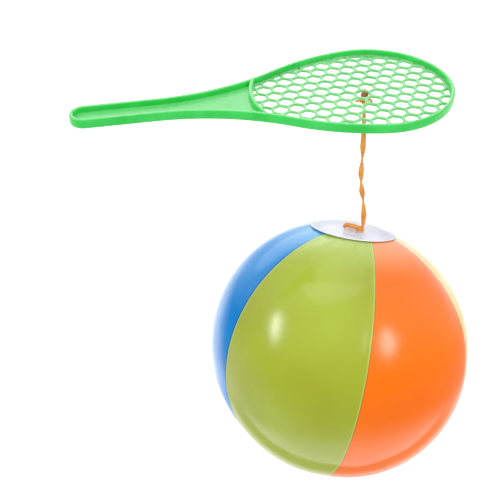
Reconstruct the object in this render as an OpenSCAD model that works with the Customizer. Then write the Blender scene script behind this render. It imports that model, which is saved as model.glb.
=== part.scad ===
// Inflatable beach paddle set: moulded paddle, rubber band and hanging six-gore ball.
// Frame: origin at the middle of the hand grip, +X along the paddle to the head, +Z up.
// The paddle is shown as it is held, rolled a little about its length; the ball hangs along -Z.

/* [Paddle] */
// Diameter of the round end of the head over the rim, mm
head_d = 94.4; // [86:0.2:102]
// From the grip centre to the centre of the round end, mm
head_reach = 125.8; // [118:0.1:135]
// Radius of the long flank between the round end and the neck, mm
flank_r = 130; // [115:1:150]
// Where the flank leaves the round end, degrees from the tip
flank_from = 99; // [96:0.5:104]
// Radius of the hollow curve that runs into the handle, mm
neck_r = 142; // [125:1:160]
// Handle width over the rims, mm
handle_w = 17.2; // [15:0.2:21]
// From the grip centre to the end of the handle, mm
handle_back = 50; // [42:0.5:62]
// Rim thickness, mm
rim_t = 2.2; // [1.8:0.1:2.8]
// Rim height above the middle of the lattice, mm
rim_up = 3.8; // [2.6:0.1:5]
// Rim depth below the middle of the lattice, mm
rim_down = 1.8; // [1:0.1:2.6]
// Radius of the ring that crosses the throat, mm
throat_r = 51.5; // [46:0.5:56]
// From the grip centre to the handle side of the throat ring, mm
throat_x = 52.5; // [48:0.5:58]
// Thickness of the web in the handle, mm
web_t = 1.6; // [1.2:0.1:2]
// Roll of the paddle about its length as it is held, degrees
paddle_roll = 11.5; // [6:0.5:16]

/* [Honeycomb] */
// Distance between hole centres, mm
hex_pitch = 9.2; // [8.6:0.1:9.8]
// Wall between two holes, mm
hex_wall = 1.5; // [1.2:0.05:1.8]
// Thickness of the lattice, mm
lattice_t = 1.5; // [1.2:0.1:2]
// Corner cut of a hole, as a share of its side
hex_round = 0.16; // [0.1:0.01:0.3]
// Solid edge left round the lattice, mm
lattice_edge = 0.7; // [0.4:0.1:1.2]
// Middle of the slanting wall that the band is tied to, mm beyond the grip centre
hang_x = 120.7; // [118:0.1:123]
// Middle of the slanting wall that the band is tied to, mm to the far side of the long axis
hang_y = -0.8; // [-2:0.1:1]

/* [Rubber band] */
// Thickness of one strand, mm
strand_d = 1.4; // [1.2:0.05:1.6]
// Width of the twisted double strand, mm
band_w = 3.2; // [2.8:0.1:3.8]
// Thickness of the twisted double strand, mm
band_t = 1.6; // [1.4:0.1:2]
// Twist over its length, degrees
band_twist = 630; // [360:10:900]
// Between the centres of the two knots, mm
cord_span = 84.6; // [70:0.1:110]
// Diameter of the upper knot, mm
upper_knot_d = 5.6; // [4.4:0.1:6.4]
// Diameter of the lower knot, mm
lower_knot_d = 4.4; // [3.8:0.1:5]
// Thickness of the strand where it is drawn tight round a knot, mm
wrap_d = 1.3; // [1.1:0.05:1.5]
// Length of the loose tail beyond the upper knot, mm
tail_len = 5; // [3:0.5:8]

/* [Ball] */
// Diameter of the ball, blown up, mm
ball_d = 175; // [150:1:190]
// Thickness of the PVC film, mm
film_t = 0.2; // [0.18:0.01:0.3]
// Diameter of the caps over the gore points, mm
cap_d = 57; // [50:1:62]
// Thickness of the caps, mm
cap_t = 0.35; // [0.3:0.05:0.5]
// Opening between the gore points under each cap, mm
point_gap = 18; // [12:1:24]
// First seam, degrees round the ball's pole from +X
seam_from = -163.4; // [-170:0.2:-150]
// Span of the lime gore, which laps over its neighbours, degrees
lime_span = 63.2; // [60:0.2:68]
// Span of the orange gore, degrees; the other four share the rest
orange_span = 64.4; // [60:0.2:68]
// Lean of the ball's pole towards the tip of the paddle, degrees
lean_x = 14.2; // [8:0.1:20]
// Lean of the ball's pole away from the viewer, degrees
lean_y = 7; // [2:0.1:12]
// Lean of the middle of the top cap towards the tip of the paddle, degrees
cap_lean_x = 10.2; // [7:0.1:14]
// Lean of the middle of the top cap away from the viewer, degrees
cap_lean_y = 10.7; // [6:0.1:12]
// Band line from the ball's centre along the paddle, pulled there by the valve's weight, mm
side_x = 14; // [10:0.1:16]
// Band line from the ball's centre across the paddle, pulled there by the valve's weight, mm
side_y = -2.6; // [-4:0.1:2]

/* [Strap] */
// Width of the clear strap, mm
strap_w = 7.5; // [6:0.5:9]
// Thickness of the strap, mm
strap_t = 0.5; // [0.4:0.05:0.7]
// Height of the strap over the cap, mm
strap_rise = 3; // [2.7:0.1:4]
// Length of the open arch of the strap, mm
strap_arch = 9; // [8.5:0.5:10]
// Length of each welded foot of the strap, mm
strap_foot = 2; // [1.5:0.5:2.5]
// Turn of the strap on the cap, so that the band's end loop lies away from the viewer, degrees
strap_turn = -35; // [-45:1:0]

/* [Valve] */
// Place of the valve round the ball's equator, degrees from +X
valve_at = -11; // [-20:1:0]
// Outer diameter of the valve tube, mm
stem_d = 10.4; // [9:0.1:12]
// Bore of the valve tube, mm
stem_bore = 6.4; // [5.4:0.1:7]
// Length of the valve tube inside the ball, mm
stem_len = 20; // [18:0.5:24]
// Width of the lip round the tube's mouth, mm
lip_w = 1.6; // [1.2:0.1:2]
// Thickness of the lip, mm
lip_t = 1; // [0.8:0.1:1.4]
// Width of the stop ring at the tube's inner end, mm
stop_w = 2; // [1.6:0.1:2.6]
// Thickness of the stop ring, mm
stop_t = 1.2; // [1:0.1:1.6]
// Diameter of the welded valve patch, mm
flange_d = 42; // [34:1:46]
// Thickness of the welded valve patch, mm
flange_t = 2.2; // [1.2:0.05:2.6]
// Length of the plug in the bore, mm
plug_len = 9; // [7:0.5:11]
// Diameter of the plug's head, mm
plug_head_d = 11.2; // [10:0.1:12.5]
// Thickness of the plug's head, mm
plug_head_t = 1.6; // [1.2:0.1:2]
// Taper of the plug over its length, mm on the radius
plug_taper = 0.34; // [0.2:0.02:0.5]
// Width of the strap between tube and plug, mm
tether_w = 3.2; // [2.6:0.1:4]
// Thickness of the strap between tube and plug, mm
tether_t = 0.7; // [0.5:0.05:0.9]

/* [Hidden] */
// Clearances: moving pieces, knots, welded skins and the plug in its bore, mm
run_gap = 0.3;
knot_gap = 0.12;
skin_gap = 0.02;
plug_gap = 0.06;
// Slack of the upper loop round its wall, and of the lower loop past the strap's edge, mm
loop_slack = 0.44;
loop_ease = 0.1;
// How deep a knot's wrapped strand lies in the knot, mm
wrap_sink = 0.45;
// Overrun of cuts and of joints inside one piece, mm
over = 1;
head_r = head_d / 2;
handle_r = handle_w / 2;
strand_r = strand_d / 2;
wrap_r = wrap_d / 2;
ball_r = ball_d / 2;
film_in = ball_r - film_t;
cap_in = ball_r + skin_gap;
cap_out = cap_in + cap_t;
uk_r = upper_knot_d / 2;
lk_r = lower_knot_d / 2;
lk_out = lk_r + wrap_r - wrap_sink;
// Band line, in the frame of the part
hang_at = [hang_x, hang_y * cos(paddle_roll), hang_y * sin(paddle_roll)];
loop_r = norm([hex_wall, lattice_t]) / 2 + loop_slack + strand_r;
upper_knot_at = hang_at - [0, 0, loop_r + strand_r + knot_gap + uk_r];
lower_knot_at = upper_knot_at - [0, 0, cord_span];
// Strap frame: the knot sits at the end of the band's loop, beside the strap
loop_run = strap_w / 2 + loop_ease;
loop_low = strap_rise - strap_t - skin_gap - strand_r;
loop_high = strap_rise + run_gap + strand_r;
loop_bend = (loop_high - loop_low) / 2;
loop_mid = (loop_high + loop_low) / 2;
knot_out = strap_w / 2 + run_gap + lk_out;
knot_up = cap_out + loop_mid;
knot_x = knot_out * cos(strap_turn);
knot_y = knot_out * sin(strap_turn);
strap_b = asin(side_y / norm([knot_y, knot_up])) - atan2(knot_y, knot_up);
knot_over = knot_up * cos(strap_b) - knot_y * sin(strap_b);
strap_a = asin(side_x / norm([knot_x, knot_over])) - atan2(knot_x, knot_over);
knot_drop = knot_over * cos(strap_a) - knot_x * sin(strap_a);
ball_at = lower_knot_at - [side_x, side_y, knot_drop];
// Centres of the paddle's curves
head_at = [head_reach, 0];
flank_at = head_at - (flank_r - head_r) * [cos(flank_from), sin(flank_from)];
neck_y = handle_r + neck_r;
neck_at = [flank_at[0] - sqrt(pow(flank_r + neck_r, 2) - pow(neck_y - flank_at[1], 2)), neck_y];
neck_a = atan2(neck_at[1] - flank_at[1], neck_at[0] - flank_at[0]);
throat_at = [throat_x + throat_r, 0];
// The throat ring is drawn past the rim, to this angle on both sides
throat_from = 110;
arc_step = 3;
// Turn of the tied wall from straight across the paddle
wall_a = 60;

// Points of an arc, its first end left out
function arc(c, r, a, b) = let (n = ceil(abs(b - a) / arc_step))
    [for (k = [1 : n]) let (t = a + (b - a) * k / n) c + r * [cos(t), sin(t)]];
function mirrored(p) = concat(p, [for (k = [len(p) - 1 : -1 : 0]) [p[k][0], -p[k][1]]]);
// Upper half of the paddle's outline, set in by i, from the tip to the end of the handle
function half_outline(i) = concat(
    arc(head_at, head_r - i, 0, flank_from),
    arc(flank_at, flank_r - i, flank_from, neck_a),
    arc(neck_at, neck_r + i, neck_a - 180, -90),
    arc([handle_r - handle_back, 0], handle_r - i, 90, 180 - arc_step));
// Half width of the head at x, set in by i
function head_half(x, i) = x > head_reach + head_r * cos(flank_from)
    ? sqrt(max(0, pow(head_r - i, 2) - pow(x - head_reach, 2)))
    : flank_at[1] + sqrt(max(0, pow(flank_r - i, 2) - pow(x - flank_at[0], 2)));
function in_head(p, i) = abs(p[1]) < head_half(p[0], i)
    && p[0] < head_reach + head_r - i
    && (p[0] > throat_at[0] || norm(p - throat_at) < throat_r - i);
// Six-sided hole with its corners cut, points across the paddle
hole_r = (hex_pitch - hex_wall) / sqrt(3);
hole = [for (k = [0 : 5]) let (
    a = hole_r * [cos(60 * k + 30), sin(60 * k + 30)],
    b = hole_r * [cos(60 * k + 90), sin(60 * k + 90)])
    each [a + (b - a) * hex_round, b + (a - b) * hex_round]];
row_h = hex_pitch * sqrt(3) / 2;
row_n = ceil(head_r / row_h);
col_n = ceil(head_d / hex_pitch);
first_hole = [hang_x - hex_pitch / 4, hang_y - row_h / 2];
// A hole at the edge is cut while its centre lies within this much of the lattice's solid edge, mm
hole_keep = 0.8;
hole_centres = [for (r = [-row_n : row_n]) for (c = [-col_n : col_n])
    let (p = first_hole + [c * hex_pitch + (abs(r) % 2) * hex_pitch / 2, r * row_h])
    if (in_head(p, rim_t + lattice_edge - hole_keep)) p];

module held() rotate([paddle_roll, 0, 0]) children();
module slab(low, high) translate([0, 0, low]) linear_extrude(high - low) children();
module at_ball() translate(ball_at) rotate([-lean_y, lean_x, 0]) children();
module at_cap() translate(ball_at) rotate([-cap_lean_y, cap_lean_x, 0]) children();
module at_strap() translate(ball_at) rotate([-strap_b, strap_a, 0]) rotate([0, 0, strap_turn]) children();
module at_valve() at_ball() rotate([0, 0, valve_at]) rotate([0, 90, 0]) children();
module outline(i) polygon(mirrored(half_outline(i)));
// All that lies on the tip side of the throat ring, the ring set in by i
module past_throat(i) polygon(concat(
    arc(throat_at, throat_r - i, throat_from, 360 - throat_from),
    [[head_reach + head_d, -head_d], [head_reach + head_d, head_d]]));
module head_inside(i) intersection() {
    outline(i);
    past_throat(i);
}

// Rim, throat ring and handle web
module paddle_frame() color([0.18, 0.78, 0.28]) held() union() {
    slab(-rim_down, rim_up) difference() {
        outline(0);
        outline(rim_t);
    }
    slab(-rim_down, rim_up) intersection() {
        outline(rim_t / 2);
        difference() {
            past_throat(0);
            past_throat(rim_t);
        }
    }
    slab(-web_t / 2, web_t / 2) difference() {
        outline(rim_t / 2);
        past_throat(rim_t / 2);
    }
}

module honeycomb_face() color([0.4, 0.86, 0.48]) held() slab(-lattice_t / 2, lattice_t / 2) difference() {
    head_inside(rim_t + skin_gap);
    intersection() {
        head_inside(rim_t + lattice_edge);
        union() for (c = hole_centres) translate(c) polygon(hole);
    }
}

// Rubber band round one wall of the lattice
module upper_loop() color([0.94, 0.6, 0.25]) translate(hang_at) rotate([90, 0, wall_a])
    rotate_extrude() translate([loop_r, 0]) circle(strand_r);

// A knot is a ball of rubber with the strand drawn round it
module knot(r, lean) union() {
    sphere(r);
    rotate(lean) rotate_extrude() translate([r - wrap_sink, 0]) circle(wrap_r);
}
module upper_knot() color([0.94, 0.6, 0.25]) translate(upper_knot_at) union() {
    knot(uk_r, [0, 12, 0]);
    rotate([0, 120, 200]) cylinder(h = uk_r + tail_len, r = wrap_r);
}
module lower_knot() color([0.94, 0.6, 0.25]) translate(lower_knot_at) knot(lk_r, [35, 0, 20]);

// Twisted double strand between the knots, a flat oval swept down and turned
cord_top = upper_knot_at[2] - uk_r - knot_gap;
cord_low = lower_knot_at[2] + lk_out + knot_gap;
cord_rings = 36;
oval = [for (k = [0 : 7]) [band_w / 2 * cos(45 * k + 22.5), band_t / 2 * sin(45 * k + 22.5)] / cos(22.5)];
cord_points = [for (r = [0 : cord_rings]) for (p = oval) let (t = band_twist * r / cord_rings)
    [hang_at[0] + p[0] * cos(t) - p[1] * sin(t), hang_at[1] + p[0] * sin(t) + p[1] * cos(t),
     cord_top + (cord_low - cord_top) * r / cord_rings]];
cord_faces = concat(
    [[for (k = [0 : 7]) k]],
    [[for (k = [7 : -1 : 0]) cord_rings * 8 + k]],
    [for (r = [0 : cord_rings - 1]) for (k = [0 : 7])
        [r * 8 + k, (r + 1) * 8 + k, (r + 1) * 8 + (k + 1) % 8]],
    [for (r = [0 : cord_rings - 1]) for (k = [0 : 7])
        [r * 8 + k, (r + 1) * 8 + (k + 1) % 8, r * 8 + (k + 1) % 8]]);
module elastic_cord() color([0.94, 0.6, 0.25]) polyhedron(cord_points, cord_faces);

// End loop of the band round the strap, its ends cut clear of the knot
module strap_loop() color([0.94, 0.6, 0.25]) difference() {
    at_strap() translate([0, 0, cap_out + loop_mid]) rotate([90, 0, 0]) union() {
        translate([-loop_run, 0, 0]) rotate([0, 0, 90]) rotate_extrude(angle = 180)
            translate([loop_bend, 0]) circle(strand_r);
        for (s = [-1, 1]) translate([-loop_run, s * loop_bend, 0]) rotate([0, 90, 0])
            cylinder(h = loop_run + knot_out, r = strand_r);
    }
    translate(lower_knot_at) sphere(lk_out + knot_gap);
}

// Clear tab welded to the cap at both ends, open in the middle for the band
arch_end = strap_arch / 2;
foot_end = arch_end + strap_foot;
strap_steps = 20;
strap_y = [for (k = [0 : strap_steps]) foot_end * (2 * k / strap_steps - 1)];
function arch(y) = abs(y) < arch_end ? (strap_rise - strap_t) * (1 + cos(180 * y / arch_end)) / 2 : 0;
function on_cap(y) = sqrt(cap_out * cap_out - y * y);
function foot_sink(y) = abs(y) < arch_end ? 0 : over;
module cord_strap() color([0.9, 0.9, 0.95, 0.5]) difference() {
    at_strap() rotate([90, 0, 90]) translate([0, 0, -strap_w / 2]) linear_extrude(strap_w) polygon(concat(
        [for (y = strap_y) [y, on_cap(y) + arch(y) - foot_sink(y)]],
        [for (y = strap_y) [-y, on_cap(y) + arch(y) + strap_t]]));
    translate(ball_at) sphere(cap_out + skin_gap, $fn = 300);
}

module cap_disc(s) color([0.92, 0.92, 0.97]) difference() {
    intersection() {
        sphere(cap_out);
        translate([0, 0, s * ball_r]) cylinder(h = cap_d, d = cap_d, center = true);
    }
    sphere(cap_in);
}
module top_cap() at_cap() cap_disc(1);
module bottom_cap() at_ball() cap_disc(-1);

// One welded PVC panel; its points end under the caps
gore_span = (360 - lime_span - orange_span) / 4;
function span_of(k) = k == 0 ? lime_span : k == 1 ? orange_span : gore_span;
function seam_at(k) = k == 0 ? seam_from : seam_at(k - 1) + span_of(k - 1);
module gore(k) at_ball() rotate([0, 0, seam_at(k)]) rotate_extrude(angle = span_of(k))
    difference() {
        circle(ball_r);
        circle(film_in);
        translate([-ball_d, -ball_d]) square([ball_d + point_gap / 2, 2 * ball_d]);
    }
module gore_lime() color([0.66, 0.74, 0.2]) gore(0);
module gore_orange() color([1, 0.48, 0.14]) gore(1);
module gore_yellow() color([0.98, 0.86, 0.4]) difference() {
    gore(2);
    at_valve() cylinder(h = ball_d, d = stem_d + 4 * run_gap);
}
module gore_red() color([0.85, 0.15, 0.15]) gore(3);
module gore_white() color([0.95, 0.95, 0.95]) gore(4);
module gore_blue() color([0.06, 0.42, 0.8]) gore(5);

// Valve patch welded to the inside of the yellow gore
patch_out = film_in - skin_gap;
module valve_flange() color([0.93, 0.93, 0.96]) at_valve() difference() {
    intersection() {
        sphere(patch_out);
        cylinder(h = ball_d, d = flange_d);
    }
    sphere(patch_out - flange_t);
    cylinder(h = ball_d, d = stem_d + 2 * run_gap);
}

// Valve tube, pushed into the ball, with its mouth lip and inner stop ring
lip_r = stem_d / 2 + lip_w;
mouth = ball_r + run_gap + lip_t;
tube_end = ball_r - stem_len;
module valve_stem() color([0.93, 0.93, 0.96]) at_valve() difference() {
    union() {
        translate([0, 0, tube_end]) cylinder(h = mouth - tube_end, d = stem_d);
        translate([0, 0, mouth - lip_t]) cylinder(h = lip_t, r = lip_r);
        translate([0, 0, tube_end]) cylinder(h = stop_t, r = stem_d / 2 + stop_w);
    }
    translate([0, 0, tube_end - over]) cylinder(h = mouth - tube_end + 2 * over, d = stem_bore);
}

plug_seat = mouth + skin_gap;
plug_r = stem_bore / 2 - plug_gap;
module valve_plug() color([0.93, 0.93, 0.96]) at_valve() union() {
    translate([0, 0, plug_seat]) cylinder(h = plug_head_t, d = plug_head_d);
    translate([0, 0, plug_seat - plug_len])
        cylinder(h = plug_len + plug_head_t / 2, r1 = plug_r - plug_taper, r2 = plug_r);
}

// Strap that keeps the plug by the tube, bent back on itself beside the lip
tether_r = tether_t / 2;
tether_out = tether_r + tether_t;
module tether_leg(y) translate([-2 * over, y]) square([2 * over, tether_t]);
module plug_tether() color([0.93, 0.93, 0.96]) at_valve() difference() {
    translate([lip_r + over, tether_w / 2, mouth + skin_gap / 2]) rotate([90, 0, 0]) linear_extrude(tether_w)
        union() {
            difference() {
                circle(tether_out);
                circle(tether_r);
                translate([-2 * over, -tether_out]) square([2 * over, 2 * tether_out]);
            }
            tether_leg(tether_r);
            tether_leg(-tether_out);
        }
    translate([0, 0, mouth - 2 * lip_t]) cylinder(h = 2 * lip_t + skin_gap / 2, r = lip_r + skin_gap);
    translate([0, 0, mouth]) cylinder(h = 2 * plug_head_t, d = plug_head_d + 2 * skin_gap);
}

paddle_frame();
honeycomb_face();
upper_loop();
upper_knot();
elastic_cord();
lower_knot();
strap_loop();
cord_strap();
top_cap();
bottom_cap();
gore_lime();
gore_orange();
gore_yellow();
gore_red();
gore_white();
gore_blue();
valve_flange();
valve_stem();
valve_plug();
plug_tether();
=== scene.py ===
"""Looks of the inflatable beach paddle set: green honeycomb paddle, rubber band and hanging ball."""

from math import asin, atan2, ceil, copysign, cos, degrees, exp, hypot, pi, sin, sqrt, tan
from math import radians as deg

import bmesh
import bpy
import numpy as np
from mathutils import Matrix, Vector, noise


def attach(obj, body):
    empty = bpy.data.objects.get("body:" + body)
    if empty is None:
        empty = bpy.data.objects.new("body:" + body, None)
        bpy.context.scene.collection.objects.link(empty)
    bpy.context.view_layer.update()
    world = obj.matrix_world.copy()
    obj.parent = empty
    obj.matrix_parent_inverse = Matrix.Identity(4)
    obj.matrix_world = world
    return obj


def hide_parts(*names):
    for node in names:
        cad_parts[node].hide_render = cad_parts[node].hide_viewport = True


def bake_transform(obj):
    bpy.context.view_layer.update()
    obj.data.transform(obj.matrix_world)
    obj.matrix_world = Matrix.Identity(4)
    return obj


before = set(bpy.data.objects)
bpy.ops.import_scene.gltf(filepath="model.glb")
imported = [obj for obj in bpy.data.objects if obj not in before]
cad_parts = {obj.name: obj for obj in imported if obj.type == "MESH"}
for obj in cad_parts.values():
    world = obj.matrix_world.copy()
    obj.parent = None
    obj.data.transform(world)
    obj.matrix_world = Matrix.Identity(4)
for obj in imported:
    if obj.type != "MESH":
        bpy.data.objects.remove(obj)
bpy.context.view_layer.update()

# Sizes of the part, in millimetres and degrees
MM = 0.001
HEAD_R = 47.2
HEAD_REACH = 125.8
FLANK_R = 130.0
FLANK_FROM = 99.0
NECK_R = 142.0
HANDLE_R = 8.6
HANDLE_BACK = 50.0
RIM_T = 2.2
RIM_UP = 3.8
RIM_DOWN = 1.8
THROAT_R = 51.5
THROAT_X = 52.5
WEB_T = 1.6
PADDLE_ROLL = 11.5
HEX_PITCH = 9.2
HEX_WALL = 1.5
LATTICE_T = 1.5
LATTICE_EDGE = 0.45
HOLE_KEEP = 3.0
HANG_X = 120.7
HANG_Y = -0.8
WALL_A = 60.0
STRAND_D = 1.4
BAND_T = 1.6
BAND_SEEN_W = 3.5
BAND_GROOVE = 0.35
CORD_SPAN = 84.6
UPPER_KNOT_R = 2.8
LOWER_KNOT_R = 2.2
LOWER_KNOT_SLACK = 0.2
LOOP_SLACK = 0.44
KNOT_GAP = 0.12
RUN_GAP = 0.3
SKIN_GAP = 0.02
BALL_R = 87.5
FILM_T = 0.2
CAP_R = 28.5
CAP_T = 0.35
CAP_REST = 0.26
PRESS_R = 23.0
PRESS_DEEP = 0.14
POINT_R = 9.0
SEAM_FROM = -163.4
LIME_SPAN = 63.2
ORANGE_SPAN = 64.4
LEAN_X = 14.2
LEAN_Y = 7.0
CAP_LEAN_X = 10.2
CAP_LEAN_Y = 10.7
SIDE_X = 14.0
SIDE_Y = -2.6
STRAP_W = 7.5
STRAP_T = 0.5
STRAP_RISE = 3.0
STRAP_ARCH = 9.0
STRAP_FOOT = 2.0
STRAP_TURN = -35.0
STRAP_ROUND = 1.4
STRAP_PROUD = 0.15
VALVE_AT = -11.0
STEM_D = 10.4
STEM_BORE = 6.4
STEM_LEN = 20.0
LIP_W = 1.6
LIP_T = 1.0
STOP_W = 2.0
STOP_T = 1.2
PATCH_R = 21.0
PATCH_T = 2.2
PLUG_LEN = 9.0
PLUG_HEAD_D = 11.2
PLUG_HEAD_T = 1.6
PLUG_TAPER = 0.34
PLUG_GAP = 0.06
TETHER_W = 3.2
TETHER_T = 0.7


def turn(axis, angle):
    return Matrix.Rotation(deg(angle), 4, axis)


def at(place):
    return Matrix.Translation(place)


def put(name, data):
    made = bpy.data.objects.new(name, data)
    bpy.context.scene.collection.objects.link(made)
    return made


# Places of the pieces, worked out as the part works them out
CAP_OUT = BALL_R + SKIN_GAP + CAP_T
HELD = turn("X", PADDLE_ROLL)
HANG_AT = HELD @ Vector((HANG_X, HANG_Y, 0))
LOOP_R = hypot(HEX_WALL, LATTICE_T) / 2 + LOOP_SLACK + STRAND_D / 2
TIE_R = 1.16
UPPER_KNOT_AT = HANG_AT - Vector((0, 0, LOOP_R + STRAND_D / 2 + KNOT_GAP + UPPER_KNOT_R))
LOWER_KNOT_AT = UPPER_KNOT_AT - Vector((0, 0, CORD_SPAN))
LOWER_KNOT_OUT = LOWER_KNOT_R + LOWER_KNOT_SLACK
LOOP_LOW = STRAP_RISE - STRAP_T - SKIN_GAP - STRAND_D / 2
LOOP_HIGH = STRAP_RISE + RUN_GAP + STRAND_D / 2
LOOP_MID = (LOOP_LOW + LOOP_HIGH) / 2
KNOT_OUT = STRAP_W / 2 + RUN_GAP + LOWER_KNOT_OUT
KNOT_UP = CAP_OUT + LOOP_MID
KNOT_X = KNOT_OUT * cos(deg(STRAP_TURN))
KNOT_Y = KNOT_OUT * sin(deg(STRAP_TURN))
STRAP_B = asin(SIDE_Y / hypot(KNOT_Y, KNOT_UP)) - atan2(KNOT_Y, KNOT_UP)
KNOT_OVER = KNOT_UP * cos(STRAP_B) - KNOT_Y * sin(STRAP_B)
STRAP_A = asin(SIDE_X / hypot(KNOT_X, KNOT_OVER)) - atan2(KNOT_X, KNOT_OVER)
KNOT_DROP = KNOT_OVER * cos(STRAP_A) - KNOT_X * sin(STRAP_A)
BALL_AT = LOWER_KNOT_AT - Vector((SIDE_X, SIDE_Y, KNOT_DROP))
AT_BALL = at(BALL_AT) @ turn("Y", LEAN_X) @ turn("X", -LEAN_Y)
AT_CAP = at(BALL_AT) @ turn("Y", CAP_LEAN_X) @ turn("X", -CAP_LEAN_Y)
AT_STRAP = (at(BALL_AT) @ Matrix.Rotation(STRAP_A, 4, "Y")
            @ Matrix.Rotation(-STRAP_B, 4, "X") @ turn("Z", STRAP_TURN))
AT_VALVE = AT_BALL @ turn("Z", VALVE_AT) @ turn("Y", 90)
CORD_TOP = UPPER_KNOT_AT.z - UPPER_KNOT_R - KNOT_GAP
CORD_LOW = LOWER_KNOT_AT.z + LOWER_KNOT_OUT + KNOT_GAP


# Camera at the photograph's viewing angle
def make_camera():
    place = Vector((-0.0235, -0.4398, 0.1407))
    right = Vector((0.982, -0.1835, -0.0441)).normalized()
    down = Vector((-0.1245, -0.4543, -0.8821))
    down = (down - right * down.dot(right)).normalized()
    lens = bpy.data.cameras.new("view_lens")
    lens.lens = 57.6
    lens.sensor_width = 36.0
    lens.clip_start = 0.01
    lens.clip_end = 20.0
    camera = put("view", lens)
    turned = Matrix((right, -down, -right.cross(down))).transposed().to_4x4()
    camera.matrix_world = at(place) @ turned
    bpy.context.scene.camera = camera


make_camera()


# Short ways to build node trees
def new_group(name, numbers, outputs=()):
    """A shader group with named numbers or, where no outputs are named, a tree that makes a mesh."""
    tree = bpy.data.node_groups.new(name, "ShaderNodeTree" if outputs else "GeometryNodeTree")
    sockets = [(label, "INPUT", "Float") for label in numbers]
    sockets += [(label, "OUTPUT", "Float") for label in outputs]
    if not outputs:
        sockets = [("Geometry", "INPUT", "Geometry")] + sockets
        sockets += [("Material", "INPUT", "Material"), ("Geometry", "OUTPUT", "Geometry")]
    for label, end, kind in sockets:
        made = tree.interface.new_socket(name=label, in_out=end, socket_type="NodeSocket" + kind)
        if label in numbers:
            made.default_value = numbers[label]
    return tree, tree.nodes.new("NodeGroupInput").outputs, tree.nodes.new("NodeGroupOutput").inputs


def add(tree, kind, inputs=(), **settings):
    node = tree.nodes.new(kind)
    for key, value in settings.items():
        setattr(node, key, value)
    pairs = inputs.items() if isinstance(inputs, dict) else enumerate(inputs)
    for key, value in pairs:
        if isinstance(value, bpy.types.NodeSocket):
            tree.links.new(value, node.inputs[key])
        elif value is not None:
            node.inputs[key].default_value = value
    return node


def look(tree, kind, inputs=(), **settings):
    """The first output of a new shader node."""
    return add(tree, "ShaderNode" + kind, inputs, **settings).outputs[0]


def geo(tree, kind, inputs=(), **settings):
    """The first output of a new geometry node."""
    return add(tree, "GeometryNode" + kind, inputs, **settings).outputs[0]


def sums(operation, *values):
    """A reckoning with numbers, in the tree of the first one that comes from a node."""
    tree = next(v.id_data for v in values if isinstance(v, bpy.types.NodeSocket))
    return look(tree, "Math", values, operation=operation)


def times(first, second):
    return sums("MULTIPLY", first, second)


def minus(first, second):
    return sums("SUBTRACT", first, second)


def ramp(value, low, high, first=0.0, last=1.0, soft=False):
    """Carries a value from one range to another, evenly or with soft ends."""
    kind = "SMOOTHSTEP" if soft else "LINEAR"
    return look(value.id_data, "MapRange", [value, low, high, first, last], interpolation_type=kind)


def fade(value, low, high):
    """Full up to the low value and gone past the high one."""
    return ramp(value, low, high, 1.0, 0.0, soft=True)


def wire_out(out, *values):
    for k, value in enumerate(values):
        value.id_data.links.new(value, out[k])


def own_place(tree):
    return add(tree, "ShaderNodeTexCoord").outputs["Object"]


def spaced(values):
    """Values by the names of their sockets, which have spaces."""
    return {label.replace("_", " "): value for label, value in values.items()}


def blank_tree(owner):
    owner.use_nodes = True
    owner.node_tree.nodes.clear()
    return owner.node_tree


def named(tree, label, kind="FLOAT"):
    return geo(tree, "InputNamedAttribute", {"Name": label}, data_type=kind)


def grow(name, tree, points, edges, faces, values, marks):
    """Runs a geometry tree on a plain mesh, in millimetres, and returns what it makes."""
    seed = bpy.data.meshes.new(name + "_seed")
    seed.from_pydata([tuple(p) for p in points], edges, faces)
    for label, kind, domain, numbers in marks:
        seed.attributes.new(label, kind, domain).data.foreach_set("value", numbers)
    holder = put(name + "_seed", seed)
    modifier = holder.modifiers.new("grow", "NODES")
    modifier.node_group = tree
    for item in tree.interface.items_tree:
        if item.item_type == "SOCKET" and item.in_out == "INPUT" and item.name in values:
            modifier[item.identifier] = values[item.name]
    seen = holder.evaluated_get(bpy.context.evaluated_depsgraph_get())
    mesh = bpy.data.meshes.new_from_object(seen)
    mesh.name = name
    holder.modifiers.remove(modifier)
    bpy.data.objects.remove(holder)
    bpy.data.meshes.remove(seed)
    return mesh


def piece(name, mesh, place, material=None):
    """A finished piece: its mesh is put in place, in metres, and its object stays at the origin."""
    mesh.transform(Matrix.Scale(MM, 4) @ place)
    if material is not None:
        mesh.materials.clear()
        mesh.materials.append(material)
    mesh.name = name
    return put(name, mesh)


def finished(made, body, node):
    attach(made, body)
    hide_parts(node)
    return made


def smooth(mesh, angle=None):
    mesh.shade_smooth()
    if angle is not None:
        mesh.set_sharp_from_angle(angle=deg(angle))


# Colours are written as they look on screen
def tint(red, green, blue):
    def straight(value):
        value = value / 255
        return value / 12.92 if value <= 0.04045 else ((value + 0.055) / 1.055) ** 2.4
    return (straight(red), straight(green), straight(blue), 1.0)


# White studio around the part
def straight_rays(tree):
    """The kinds of ray, and whether this one looks straight at the surface or through clear film."""
    path = add(tree, "ShaderNodeLightPath").outputs
    return path, sums("MAXIMUM", path["Is Camera Ray"], path["Is Transmission Ray"])


def plain_world():
    world = bpy.data.worlds.new("studio")
    bpy.context.scene.world = world
    tree = blank_tree(world)
    path, seen = straight_rays(tree)
    seen = sums("MAXIMUM", seen, path["Is Glossy Ray"])
    fill_light, plain_white = 0.42, 1.0
    skies = [look(tree, "Background", {"Color": (1, 1, 1, 1), "Strength": strength})
             for strength in (fill_light, plain_white)]
    add(tree, "ShaderNodeOutputWorld", [look(tree, "MixShader", [seen] + skies)])


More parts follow.
